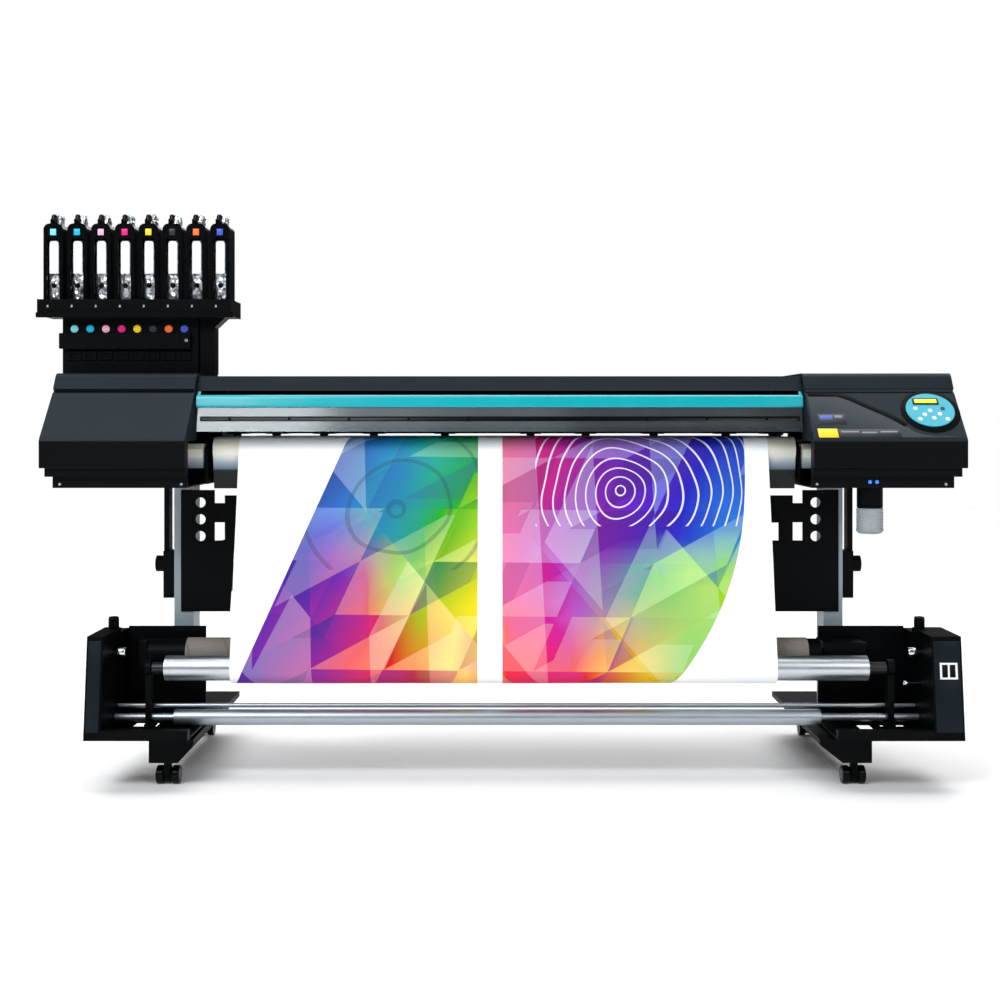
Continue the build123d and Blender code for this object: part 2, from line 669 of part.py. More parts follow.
def waste_bottle():
    body = rod_z(1036, -250, 690, 763, 38)
    body = fillet(body.edges().group_by(Axis.Z)[0], 12)
    return one(body + rod_z(1036, -250, 763, 798, 29))


# ---- assembly --------------------------------------------------------------------------------
casters = {
    "front_left": (-932.0, -330.0),
    "front_right": (972.0, -330.0),
    "rear_left": (-959.0, 272.0),
    "rear_right": (980.0, 272.0),
}


def all_parts():
    parts = {
        "base_frame": base_frame(),
        "main_beam": main_beam(),
        "guide_rail": guide_rail(),
        "platen": platen(),
        "apron": apron(),
        "apron_ends": apron_ends(),
        "left_cover": left_cover(),
        "right_cover": right_cover(),
        "top_cover": top_cover(),
        "front_cover": front_cover(),
        "cover_window": cover_window(),
        "carriage": carriage(),
        "print_heads": print_heads(),
        "blade_holder": blade_holder(),
        "belt_drive": belt_drive(),
        "motor_pulley": belt_pulley(pulley_right),
        "idler_pulley": belt_pulley(pulley_left),
        "grit_roller": grit_roller(),
        "pinch_arms": pinch_arms(),
        "pinch_wheels": pinch_wheels(),
        "maintenance_station": maintenance_station(),
        "electronics_box": electronics_box(),
        "power_switch": power_switch(),
        "control_panel": control_panel(),
        "cartridge_bay": cartridge_bay(),
        "ink_rack": ink_rack(),
        "pouch_holders": [pouch_holder(pouch_x0 + i * pouch_pitch) for i in range(pouch_count)],
        "ink_pouches": [ink_pouch(pouch_x0 + i * pouch_pitch) for i in range(pouch_count)],
        "waste_bottle": waste_bottle(),
        "stand_legs": stand_legs(),
        "stand_feet": stand_feet(),
        "leg_plates": leg_plates(),
        "takeup_housings": takeup_housings(),
        "winding_switch": takeup_rocker(1199.5),
        "mode_switch": takeup_rocker(1220.5),
        "tie_rods": tie_rods(),
        "takeup_mounts": takeup_mounts(),
        "tension_roller": tension_roller(),
        "takeup_core": takeup_core(),
        "core_holders": core_holders(),
        "wound_media": wound_media(),
        "supply_roll": supply_roll(),
        "roll_holders": roll_holders(),
        "media_web": media_web(),
    }
    for number, key in enumerate(keys, start=1):
        parts[f"button_{number}"] = button(*key)
    for name, place in casters.items():
        parts[f"caster_fork_{name}"] = caster_fork(*place)
        parts[f"caster_wheels_{name}"] = caster_wheels(*place)
    return {name: part if isinstance(part, list) else [part] for name, part in parts.items()}


def origin_of(parts):
    """Centre of the bottom of the whole machine's box."""
    box = Compound([solid for part in parts.values() for solid in part]).bounding_box()
    return Vector((box.min.X + box.max.X) / 2, (box.min.Y + box.max.Y) / 2, box.min.Z)


machine = all_parts()
origin = origin_of(machine)
for name, solids in machine.items():
    moved = [solid.translate((-origin.X, -origin.Y, -origin.Z)) for solid in solids]
    export_step(Compound(moved) if len(moved) > 1 else moved[0], f"parts/{name}.step")
print("origin", origin.X, origin.Y, origin.Z, "nodes", len(machine))
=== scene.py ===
import bpy, math
from mathutils import Matrix, Vector, noise


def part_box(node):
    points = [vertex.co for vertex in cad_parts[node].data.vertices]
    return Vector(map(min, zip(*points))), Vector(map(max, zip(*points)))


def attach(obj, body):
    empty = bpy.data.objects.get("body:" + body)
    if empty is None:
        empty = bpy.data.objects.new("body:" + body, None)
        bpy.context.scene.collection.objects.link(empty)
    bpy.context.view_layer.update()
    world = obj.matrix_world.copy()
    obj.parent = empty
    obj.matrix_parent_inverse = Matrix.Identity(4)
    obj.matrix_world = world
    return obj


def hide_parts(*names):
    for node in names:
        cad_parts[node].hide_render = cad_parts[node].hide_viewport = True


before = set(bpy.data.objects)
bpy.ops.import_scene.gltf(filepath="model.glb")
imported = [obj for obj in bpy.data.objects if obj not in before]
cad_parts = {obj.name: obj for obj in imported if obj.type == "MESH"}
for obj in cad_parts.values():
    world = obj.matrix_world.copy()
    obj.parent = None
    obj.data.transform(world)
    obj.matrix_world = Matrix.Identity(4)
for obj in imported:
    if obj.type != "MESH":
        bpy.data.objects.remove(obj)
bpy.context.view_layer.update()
noise.seed_set(5)  # the same creases on every run


machine = {"originX": 42, "originY": 15}  # where the machine's own zero lies in the frame, in millimetres


def spot(x, y, z):  # a place in the machine's own millimetres, as the frame's metres
    return Vector(((x + machine["originX"]) / 1000, (y + machine["originY"]) / 1000, z / 1000))


# the operator's slope of the side covers: its top edge, what it runs back and down, and its outward side
slope = {"topY": -209, "topZ": 1088, "runY": 121, "runZ": 132, "length": 179}
slopeOut = Vector((0, -0.737, 0.676))


def onSlope(across, down, proud=0.0):  # a point on that slope, down millimetres below its top edge
    share = down / slope["length"]
    place = Vector((across, slope["topY"] - slope["runY"] * share, slope["topZ"] - slope["runZ"] * share))
    return spot(*(place + slopeOut * proud))


# finishes and the small helpers that make them
def tint(*colour):  # screen colour, 0 to 255, as the shader's linear colour
    return (*[c / 255 / 12.92 if c < 11 else ((c / 255 + 0.055) / 1.055) ** 2.4 for c in colour], 1.0)


class Wire:
    def __init__(self, finish, socket):
        self.finish, self.socket = finish, socket

    def sum(self, operation, first, second=0.0):
        return self.finish.add("ShaderNodeMath", {"operation": operation}, {0: first, 1: second})

    def __add__(self, other): return self.sum("ADD", self, other)
    def __radd__(self, other): return self.sum("ADD", other, self)
    def __sub__(self, other): return self.sum("SUBTRACT", self, other)
    def __rsub__(self, other): return self.sum("SUBTRACT", other, self)
    def __mul__(self, other): return self.sum("MULTIPLY", self, other)
    def __rmul__(self, other): return self.sum("MULTIPLY", other, self)
    def __truediv__(self, other): return self.sum("DIVIDE", self, other)
    def __rtruediv__(self, other): return self.sum("DIVIDE", other, self)
    def __pow__(self, other): return self.sum("POWER", self, other)
    def __gt__(self, other): return self.sum("GREATER_THAN", self, other)
    def __lt__(self, other): return self.sum("LESS_THAN", self, other)
    def __mod__(self, other): return self.sum("FLOORED_MODULO", self, other)


class Finish:
    def __init__(self, name):
        self.material = bpy.data.materials.new(name)
        self.material.use_nodes = True
        self.tree = self.material.node_tree
        self.shader = self.tree.nodes["Principled BSDF"]
        self.place = self.add("ShaderNodeTexCoord", out="Object")

    def add(self, kind, settings=None, inputs=None, out=0):
        node = self.tree.nodes.new(kind)
        for name, value in (settings or {}).items():
            if name == "stops":
                ramp = node.color_ramp
                while len(ramp.elements) < len(value):
                    ramp.elements.new(0.5)
                for element, (position, colour) in zip(ramp.elements, value):
                    element.position, element.color = position, colour
            else:
                setattr(node, name, value)
        for name, value in (inputs or {}).items():
            self.feed(node.inputs[name], value)
        return Wire(self, node.outputs[out])

    def feed(self, socket, value):
        if isinstance(value, Wire):
            self.tree.links.new(value.socket, socket)
        else:
            socket.default_value = value

    def stretched(self, scale):
        return self.add("ShaderNodeMapping", None, {"Vector": self.place, "Scale": scale})

    def cloud(self, scale, detail=2.0, vector=None):
        return self.add("ShaderNodeTexNoise", None,
                        {"Vector": vector or self.place, "Scale": scale, "Detail": detail})

    def blend(self, share, first, second):
        return self.add("ShaderNodeMix", {"data_type": "RGBA"}, {0: share, 6: first, 7: second}, out=2)

    def ramp(self, share, stops, mode="LINEAR"):
        node = self.add("ShaderNodeValToRGB", {"stops": stops}, {0: share})
        node.socket.node.color_ramp.interpolation = mode
        return node

    def axes(self, vector=None):
        node = self.add("ShaderNodeSeparateXYZ", None, {0: vector or self.place}).socket.node
        return [Wire(self, out) for out in node.outputs]

    def bump(self, height, depth, strength=1.0):
        return self.add("ShaderNodeBump", None,
                        {"Height": height, "Distance": depth, "Strength": strength})

    def dress(self, **values):
        for name, value in values.items():
            self.feed(self.shader.inputs[name.replace("_", " ")], value)
        return self.material


def moulded(name, colour, rough=0.45, grain=1100, depth=0.00006, mottle=0.08, coat=0.0, shine=0.4):
    finish = Finish(name)
    light = tuple(min(1.0, c * (1 + mottle)) for c in colour[:3]) + (1.0,)
    dark = tuple(c * (1 - mottle) for c in colour[:3]) + (1.0,)
    fine, broad = finish.cloud(grain, 3.0), finish.cloud(9.0, 3.0)
    return finish.dress(
        Base_Color=finish.blend(broad, dark, light),
        Roughness=rough + (broad - 0.5) * 0.12 + (fine - 0.5) * 0.08,
        Normal=finish.bump(fine, depth), Coat_Weight=coat, Coat_Roughness=0.12,
        Specular_IOR_Level=shine)


def metal(name, colour, rough=0.3, along=(40, 40, 40), depth=0.00002, strength=0.16):
    finish = Finish(name)
    lines = finish.cloud(22.0, 4.0, finish.stretched(along))
    dull = finish.cloud(14.0, 3.0)
    dark = tuple(c * 0.82 for c in colour[:3]) + (1.0,)
    return finish.dress(
        Base_Color=finish.blend(lines * 0.6 + dull * 0.4, dark, colour), Metallic=1.0,
        Roughness=rough + (lines - 0.5) * strength + (dull - 0.5) * 0.1,
        Normal=finish.bump(lines, depth))


def endedRoller():  # bright tube with dark stub ends
    finish = Finish("windingRoller")
    tubeLeft, tubeRight = -0.9055, 1.0615
    across = finish.axes()[0]
    lines, dull = finish.cloud(22.0, 4.0, finish.stretched((0.5, 60, 60))), finish.cloud(14.0, 3.0)
    tube = (across > tubeLeft) * (across < tubeRight)
    metalTone = finish.blend(lines, tint(176, 182, 188), tint(206, 211, 216))
    return finish.dress(
        Base_Color=finish.blend(tube, tint(24, 27, 30), metalTone),
        Metallic=tube, Roughness=0.34 + (lines - 0.5) * 0.14 + (dull - 0.5) * 0.1,
        Normal=finish.bump(lines, 0.00002), Specular_IOR_Level=0.3)


def sideShell():  # slate above the lower edge of the slope, near black below it: the near black is painted shade of the front face
    finish = Finish("coverShellPaintedShade")
    height = finish.axes()[2]
    fine, broad = finish.cloud(1200.0, 3.0), finish.cloud(5.0, 3.0)
    # mask by height for the painted shade on the front face below the slope
    low = finish.add("ShaderNodeMapRange", None, {0: height, 1: 0.949, 2: 0.956})
    slate = finish.blend(broad, tint(24, 32, 38), tint(30, 39, 46))
    return finish.dress(
        # the near black below the slope's lower edge is painted shade, not a second paint
        Base_Color=finish.blend(low, tint(2, 4, 6), slate),
        Roughness=0.42 + (fine - 0.5) * 0.1 + (broad - 0.5) * 0.1,
        Normal=finish.bump(fine, 0.00007), Specular_IOR_Level=0.09)


def twoTone():  # pale enamel over a dark lower skirt, with a soft grey line between: that grey fade is painted shade where the apron curves down, topped by a painted highlight
    finish = Finish("apronEnamelPaintedShade")
    height = finish.axes()[2]
    broad, fine = finish.cloud(18.0, 3.0), finish.cloud(900.0, 3.0)
    share = finish.add("ShaderNodeMapRange", None, {0: height, 1: 0.855, 2: 0.945})
    # the blue-grey stops from 0.17 to 0.36 are painted shade of the curve, and the stops at 0.5 and 0.56 a
    # painted highlight at the cream's lower edge
    tone = finish.ramp(share, [
        (0.0, tint(10, 12, 14)), (0.12, tint(16, 20, 24)), (0.17, tint(96, 110, 122)),
        (0.36, tint(150, 164, 176)), (0.5, tint(196, 203, 206)), (0.56, tint(232, 230, 220)),
        (1.0, tint(226, 222, 208))])
    return finish.dress(
        Base_Color=finish.blend(broad * share * 0.12, tone, tint(140, 140, 134)),
        Roughness=0.32 + (broad - 0.5) * 0.14,
        Normal=finish.bump(fine, 0.00004), Specular_IOR_Level=0.2)


def smokedWindow():
    finish = Finish("smokedWindow")
    haze = finish.cloud(7.0, 3.0)
    return finish.dress(
        Base_Color=finish.blend(haze, tint(120, 132, 138), tint(146, 158, 164)),
        Roughness=0.08 + haze * 0.06, Transmission_Weight=0.92, IOR=1.46)


def paper(name, edge=None):  # matt paper; edge = (y, z) of a roll whose ends show its layers
    finish = Finish(name)
    fibre, broad = finish.cloud(1600.0, 4.0), finish.cloud(11.0, 2.0)
    colour = finish.blend(broad, tint(240, 241, 242), tint(250, 250, 250))
    if edge:
        _, y, z = finish.axes()
        out = ((y - edge[0]) ** 2.0 + (z - edge[1]) ** 2.0) ** 0.5
        layers = finish.add("ShaderNodeCombineXYZ", None, {0: out * 1500, 1: 0.0, 2: 0.0})
        rings = finish.cloud(1.0, 2.0, layers)
        colour = finish.blend(rings * 0.35, colour, tint(176, 178, 182))
    return finish.dress(Base_Color=colour, Roughness=0.62 + (broad - 0.5) * 0.1,
                        Normal=finish.bump(fibre, 0.00003), Specular_IOR_Level=0.3)


def cardboard():
    finish = Finish("cardboard")
    x, y, _ = finish.axes()
    fibre = finish.cloud(260.0, 4.0, finish.stretched((0.25, 1, 1)))
    line = ((x * 9.0 + y * 6.0) % 1.0) < 0.035  # the winding's seam
    colour = finish.blend(fibre, tint(108, 102, 97), tint(138, 132, 127))
    return finish.dress(Base_Color=finish.blend(line * 0.5, colour, tint(78, 68, 58)),
                        Roughness=0.78 + (fibre - 0.5) * 0.1, Normal=finish.bump(fibre, 0.0001),
                        Specular_IOR_Level=0.25)


def crumpledFoil():
    finish = Finish("crumpledFoil")
    facets = finish.add("ShaderNodeTexVoronoi", {"feature": "F1"},
                        {"Vector": finish.stretched((1, 1, 0.7)), "Scale": 85.0, "Randomness": 1.0})
    fold = finish.cloud(60.0, 4.0)
    return finish.dress(
        Base_Color=finish.blend(fold, tint(168, 174, 182), tint(236, 240, 244)), Metallic=0.9,
        Roughness=0.2 + fold * 0.18, Normal=finish.bump(facets + fold * 0.7, 0.004))


def frostedBottle():
    finish = Finish("frostedBottle")
    cloud, fine = finish.cloud(30.0, 3.0), finish.cloud(700.0, 2.0)
    return finish.dress(
        Base_Color=finish.blend(cloud, tint(150, 158, 166), tint(184, 190, 196)),
        Roughness=0.42 + fine * 0.12, Transmission_Weight=0.35, IOR=1.4,
        Normal=finish.bump(fine, 0.00008))


def glowing(name, colour, power):
    finish = Finish(name)
    cells = finish.cloud(420.0, 1.0)
    dimmer = tuple(c * 0.86 for c in colour[:3]) + (1.0,)
    return finish.dress(Base_Color=colour, Roughness=0.3 + cells * 0.1,
                        Emission_Color=finish.blend(cells, colour, dimmer),
                        Emission_Strength=power)


# the artwork in the sheet's own map: u runs across the web, v along it from the supply roll to the wound roll
artwork = {
    "width": 1.524, "length": 1.536,  # metres
    "nose": 0.475, "run": 0.425,  # v at the front nose, and from there to the loop
    "from": 0.36, "to": 0.965, "leftEnd": 0.452, "rightStart": 0.498,
}


def facets(finish, u, v, size, turn):  # straight-sided facets: a leaning lattice cut into triangles
    wide, long = artwork["width"], artwork["length"]
    across, along = math.cos(turn) / size, math.sin(turn) / size
    a = u * (wide * across) + v * (long * along)
    b = v * (long * across * 1.15) - u * (wide * along * 1.15) + a * 0.5
    cellA, cellB = a.sum("FLOOR", a), b.sum("FLOOR", b)
    partA, partB = a - cellA, b - cellB
    half = (partA + partB) > 1.0
    cell = finish.add("ShaderNodeCombineXYZ", None, {0: cellA, 1: cellB, 2: half})
    tone = finish.add("ShaderNodeTexWhiteNoise", {"noise_dimensions": "3D"}, {"Vector": cell},
                      out="Value")
    return tone * 0.78 + (partA * (1 - half) + partB * half) * 0.22


def printedWeb():  # two panels of a generic colour mosaic on white paper
    finish = Finish("printedWeb")
    chart = finish.add("ShaderNodeUVMap", {"uv_map": "webMap"})
    u, v, _ = finish.axes(chart)
    warp = finish.cloud(3.0, 2.0, chart)
    small, large = facets(finish, u, v, 0.19, 0.42), facets(finish, u, v, 0.31, -0.7)
    across = u + (small - 0.5) * 0.07 + (large - 0.5) * 0.05
    down = (v - artwork["nose"]) * (1 / artwork["run"])  # 0 at the front nose and 1 at the loop
    step = down + (small - 0.5) * 0.16 + (large - 0.5) * 0.2
    rows = [[
        (0.18, (70, 74, 150)), (0.27, (36, 120, 190)), (0.35, (60, 170, 150)), (0.45, (20, 150, 60)),
        (0.5, (206, 10, 90)), (0.57, (196, 30, 130)), (0.66, (120, 50, 160)), (0.8, (90, 60, 170)),
        (0.93, (50, 70, 180))], [
        (0.1, (30, 50, 150)), (0.2, (0, 110, 200)), (0.28, (0, 150, 150)), (0.36, (20, 160, 60)),
        (0.45, (150, 205, 20)), (0.5, (220, 20, 120)), (0.6, (150, 60, 160)), (0.75, (110, 80, 190)),
        (0.92, (10, 110, 210))], [
        (0.05, (80, 60, 160)), (0.16, (110, 40, 150)), (0.26, (190, 40, 120)), (0.34, (150, 190, 40)),
        (0.45, (250, 225, 0)), (0.5, (235, 50, 130)), (0.62, (180, 110, 190)), (0.76, (50, 160, 110)),
        (0.88, (150, 205, 30))], [
        (0.02, (100, 50, 160)), (0.14, (170, 30, 140)), (0.24, (226, 20, 70)), (0.35, (240, 90, 20)),
        (0.45, (250, 190, 10)), (0.52, (232, 60, 90)), (0.62, (230, 60, 110)), (0.74, (250, 190, 40)),
        (0.86, (120, 190, 40))]]
    ink = None
    for i, row in enumerate(rows):
        colours = finish.ramp(across, [(place, tint(*colour)) for place, colour in row])
        turnOver = finish.add("ShaderNodeMapRange", None, {0: step, 1: i / 3 - 0.33, 2: i / 3})
        ink = finish.blend(turnOver, ink, colours) if ink else colours
    ink = finish.add("ShaderNodeHueSaturation", None, {
        "Hue": 0.485 + small * 0.03, "Saturation": 1.2, "Value": 0.7 + small * 0.24 + large * 0.14,
        "Color": ink})
    ink = finish.blend((large > 0.6) * 0.12 + (small > 0.66) * 0.1, ink, tint(255, 255, 255))
    ink = finish.blend((small < 0.22) * 0.22, ink, tint(40, 0, 110))

    def rings(atU, atV, scale, warped):  # fine lines round a point
        aside, ahead = (u - atU) * artwork["width"], (v - atV) * artwork["length"]
        reach = (aside ** 2.0 + ahead ** 2.0) ** 0.5 + (warp - 0.5) * warped
        return (reach * scale) % 1.0
    pale = (rings(0.72, 0.56, 34.0, 0.16) < 0.14) * (u > 0.56) * (down < 0.36)
    dark = (rings(0.3, 0.6, 8.5, 0.2) < 0.1) * (u < 0.46) * (down < 0.55)
    ink = finish.blend(pale * 0.75, ink, tint(246, 240, 252))
    ink = finish.blend(dark * 0.38, ink, tint(10, 60, 70))
    leftEdge = 0.2 - down * 0.18
    rightEdge = 0.955 - down.sum("MAXIMUM", down, 0.0) ** 2.6 * 0.13
    leftPanel = (u > leftEdge) * (u < artwork["leftEnd"])
    rightPanel = (u > artwork["rightStart"]) * (u < rightEdge)
    printed = (leftPanel + rightPanel) * (v > artwork["from"]) * (v < artwork["to"])
    fibre = finish.cloud(1500.0, 4.0)
    broad = finish.cloud(8.0, 2.0)
    white = finish.blend(broad, tint(242, 243, 245), tint(248, 249, 250))
    return finish.dress(
        Base_Color=finish.blend(printed, white, ink),
        Roughness=0.5 - printed * 0.08 + (broad - 0.5) * 0.08,
        Normal=finish.bump(fibre, 0.00003), Specular_IOR_Level=0.35)


print("finishes")
blackPlastic = moulded("blackPlastic", tint(4, 6, 8), 0.45, shine=0.05)
gloss = moulded("glossBlack", tint(4, 6, 8), 0.22, 500, 0.00002, shine=0.12)
powderCoat = moulded("powderCoat", tint(4, 7, 9), 0.5, 700, 0.00012, shine=0.06)
postGrey = moulded("postGrey", tint(142, 154, 162), 0.4, 700, 0.00008, shine=0.4)
greyCoat = moulded("greyPowderCoat", tint(92, 98, 104), 0.48, 700, 0.0001)
slate = moulded("slatePlastic", tint(33, 40, 46), 0.42, shine=0.18)
darkSlate = moulded("darkSlate", tint(15, 24, 31), 0.42, shine=0.1)
topSlate = moulded("topSlate", tint(18, 28, 35), 0.42, 900, shine=0.11)
inlaySlate = moulded("inlaySlate", tint(33, 43, 50), 0.36, 1300, shine=0.12)
teal = moulded("handleTeal", tint(0, 158, 170), 0.24, 600, 0.00002, 0.05, 0.3)
tealPad = moulded("tealPad", tint(0, 160, 182), 0.3, 800, 0.00002, 0.05, 0.2)
keyWhite = moulded("keyWhite", tint(232, 236, 238), 0.35, 900, 0.00003, 0.03)
keyDark = moulded("keyDark", tint(30, 50, 62), 0.35, 900, 0.00003)
rubber = moulded("rubber", tint(20, 20, 21), 0.72, 420, 0.0002, 0.15, shine=0.25)
paleGrey = moulded("stationGrey", tint(150, 154, 158), 0.45)
chrome = metal("chrome", tint(214, 218, 222), 0.12, (2, 40, 40), 0.00001, 0.06)
rollerMetal = metal("rollerMetal", tint(206, 211, 216), 0.3, (0.5, 60, 60))
tubeMetal = metal("tubeMetal", tint(176, 184, 192), 0.42, (0.5, 60, 60))
windingRoller = endedRoller()
extruded = metal("extrudedAluminium", tint(186, 192, 198), 0.34, (0.4, 50, 50))
bright = metal("brightSteel", tint(198, 200, 202), 0.22, (30, 30, 3))
brushed = metal("brushedPlate", tint(170, 175, 180), 0.36, (0.6, 40, 40))
gritSteel = metal("gritSteel", tint(120, 124, 128), 0.55, (300, 300, 300), 0.0002)
shellPaintedShade, enamelPaintedShade, window = sideShell(), twoTone(), smokedWindow()
webPaper, supplyPaper = paper("woundPaper", (-0.177, 0.343)), paper("supplyPaper", (0.288, 0.6))
board, foil, bottlePlastic, printedPaper = cardboard(), crumpledFoil(), frostedBottle(), printedWeb()
whiteCard = moulded("whiteCard", tint(236, 238, 240), 0.5, 1400, 0.00002, 0.03)

nodeFinish = {
    "base_frame": powderCoat, "main_beam": greyCoat, "guide_rail": extruded, "platen": brushed,
    "apron": enamelPaintedShade, "apron_ends": enamelPaintedShade, "left_cover": shellPaintedShade, "right_cover": shellPaintedShade,
    "top_cover": topSlate, "belt_drive": rubber, "maintenance_station": blackPlastic,
    "electronics_box": greyCoat, "control_panel": tealPad, "cartridge_bay": blackPlastic,
    "ink_rack": blackPlastic, "pouch_holders": gloss, "stand_legs": postGrey,
    "stand_feet": powderCoat, "leg_plates": powderCoat, "takeup_housings": blackPlastic,
    "tie_rods": tubeMetal, "takeup_mounts": blackPlastic, "roll_holders": powderCoat,
    "front_cover": teal, "cover_window": window, "carriage": blackPlastic, "print_heads": bright,
    "blade_holder": chrome, "motor_pulley": extruded, "idler_pulley": extruded,
    "grit_roller": gritSteel, "pinch_arms": blackPlastic, "pinch_wheels": rubber,
    "power_switch": gloss, "winding_switch": gloss, "mode_switch": gloss, "takeup_core": board,
    "core_holders": blackPlastic, "wound_media": webPaper, "tension_roller": windingRoller,
    "supply_roll": supplyPaper, "button_2": keyDark,
}
for nodeName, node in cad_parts.items():
    kind = (keyWhite if nodeName.startswith("button_") else
            gloss if "wheels" in nodeName else blackPlastic)
    for holder in node.material_slots:
        holder.material = nodeFinish.get(nodeName, kind)


# modelling helpers
def fresh(name):
    made = bpy.context.object
    made.name = made.data.name = name
    bpy.ops.object.transform_apply(location=True, rotation=True, scale=True)
    return made


def startBlock(name, low, high):
    a, b = spot(*low), spot(*high)
    bpy.ops.object.select_all(action="DESELECT")
    bpy.ops.mesh.primitive_cube_add(size=1, location=(a + b) / 2, scale=b - a)
    return fresh(name)


def turned(name, base, toward, profile, sides=32):  # profile: (along, radius) in millimetres
    bpy.ops.object.select_all(action="DESELECT")
    bpy.ops.mesh.primitive_circle_add(vertices=sides, radius=profile[0][1] / 1000, fill_type="NGON")
    made = bpy.context.object
    bpy.ops.object.mode_set(mode="EDIT")
    bpy.ops.mesh.select_all(action="SELECT")
    for (lastAlong, lastRadius), (along, radius) in zip(profile, profile[1:]):
        lift, grow = (along - lastAlong) / 1000, radius / lastRadius
        bpy.ops.mesh.extrude_region_move(TRANSFORM_OT_translate={"value": (0, 0, lift)})
        bpy.ops.transform.resize(value=(grow, grow, 1),
                                 center_override=(0, 0, along / 1000))
    bpy.ops.mesh.select_all(action="SELECT")
    bpy.ops.mesh.normals_make_consistent(inside=False)
    bpy.ops.object.mode_set(mode="OBJECT")
    made.rotation_euler = Vector(toward).to_track_quat("Z", "Y").to_euler()
    made.location = base
    return fresh(name)


def plate(name, outline, lift):  # a flat shape through the outline's points, as thick as lift is long
    bpy.ops.object.select_all(action="DESELECT")
    bpy.ops.mesh.primitive_circle_add(vertices=len(outline), radius=1, fill_type="NGON")
    made = bpy.context.object
    for corner, point in zip(made.data.vertices, outline):
        corner.co = point
    bpy.ops.object.mode_set(mode="EDIT")
    bpy.ops.mesh.select_all(action="SELECT")
    bpy.ops.mesh.extrude_region_move(TRANSFORM_OT_translate={"value": lift})
    bpy.ops.mesh.select_all(action="SELECT")
    bpy.ops.mesh.normals_make_consistent(inside=False)
    bpy.ops.object.mode_set(mode="OBJECT")
    return fresh(name)


def again(piece, offset, name):  # a copy with its own mesh, moved by millimetres
    copy = piece.copy()
    copy.data = piece.data.copy()
    copy.name = copy.data.name = name
    bpy.context.scene.collection.objects.link(copy)
    copy.data.transform(Matrix.Translation(Vector(offset) / 1000))
    return copy


def row(name, first, count, pitch):  # the first piece and its copies, numbered from 1
    return [first] + [again(first, (pitch * i, 0, 0), name + str(i + 1)) for i in range(1, count)]


def together(name, pieces):  # several meshes as one piece
    bpy.ops.object.select_all(action="DESELECT")
    for piece in pieces:
        piece.select_set(True)
    bpy.context.view_layer.objects.active = pieces[0]
    bpy.ops.object.join()
    pieces[0].name = pieces[0].data.name = name
    return pieces[0]


def finished(piece, body, finish, bevel=0.0, angle=35):  # edges, finish, slot and body of a new piece
    bpy.ops.object.select_all(action="DESELECT")
    piece.select_set(True)
    bpy.context.view_layer.objects.active = piece
    if bevel:
        edges = piece.modifiers.new("edges", "BEVEL")
        edges.width, edges.segments, edges.limit_method = bevel / 1000, 2, "ANGLE"
        edges.angle_limit = math.radians(30)
        bpy.ops.object.modifier_apply(modifier=edges.name)
    bpy.ops.object.shade_smooth_by_angle(angle=math.radians(angle))
    piece.data.materials.clear()
    piece.data.materials.append(finish)
    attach(piece, body)
    return piece


print("stage")
cameraView = {"place": (0.032, -4.215, 1.011), "lens": 50.65, "shift": -0.08}
lens = bpy.data.cameras.new("camera")
lens.lens, lens.sensor_width, lens.shift_y = cameraView["lens"], 36.0, cameraView["shift"]
lens.clip_end = 200  # metres
camera = bpy.data.objects.new("camera", lens)
bpy.context.scene.collection.objects.link(camera)
camera.location, camera.rotation_euler = cameraView["place"], (math.radians(90), 0, 0)
bpy.context.scene.camera = camera
bpy.context.scene.view_settings.view_transform = "Standard"

bpy.ops.object.select_all(action="DESELECT")
bpy.ops.mesh.primitive_plane_add(size=24)  # metres, so that its far edge is well away
floor = fresh("studioFloor")
floorFinish = Finish("studioFloor")
floorGrain = floorFinish.cloud(2.0, 2.0)
floor.data.materials.append(floorFinish.dress(
    Base_Color=floorFinish.blend(floorGrain, tint(243, 243, 243), tint(247, 247, 247)), Roughness=0.9,
    Specular_IOR_Level=0.1))


def softbox(name, place, target, size, power, colour=(1, 1, 1)):
    light = bpy.data.lights.new(name, "AREA")
    light.shape, light.size, light.size_y = "RECTANGLE", *size
    light.energy, light.color = power, colour
    holder = bpy.data.objects.new(name, light)
    bpy.context.scene.collection.objects.link(holder)
    holder.location = place
    holder.rotation_euler = (Vector(target) - Vector(place)).to_track_quat("-Z", "Y").to_euler()


softbox("keyLight", (-2.7, -4.2, 4.3), (-0.2, 0, 0.9), (3.0, 2.0), 170)
softbox("fillLight", (3.4, -4.6, 3.4), (0.2, 0, 0.8), (2.0, 2.4), 85)
softbox("backLight", (0.5, 4.5, 3.6), (0, 0.2, 0.9), (4.0, 2.0), 60)

# a broad even light from above and a little behind, which keeps the floor white all over
overheadLight = {"power": 2.8, "angle": 64, "way": (0, -1.6, -5)}
sunLight = bpy.data.lights.new("overhead", "SUN")
sunLight.energy, sunLight.angle = overheadLight["power"], math.radians(overheadLight["angle"])
overhead = bpy.data.objects.new("overhead", sunLight)
bpy.context.scene.collection.objects.link(overhead)
overhead.rotation_euler = Vector(overheadLight["way"]).to_track_quat("-Z", "Y").to_euler()

# cool strips that mirror in the left end of the window and fade towards its middle
windowLight = {"left": -3.9, "y": -4.35, "z": 4.75, "deep": 1.1,
               "strips": ((-1.25, 44), (-0.45, 30), (0.5, 20))}  # right end and power of each
for reach, power in windowLight["strips"]:
    middle, wide = (reach + windowLight["left"]) / 2, reach - windowLight["left"]
    softbox("windowGlow" + str(power), (middle, windowLight["y"], windowLight["z"]), (middle, -0.2, 1.0),
            (wide, windowLight["deep"]), power, (0.8, 0.93, 1.0))

world = bpy.data.worlds.new("studio")
bpy.context.scene.world = world
world.use_nodes = True
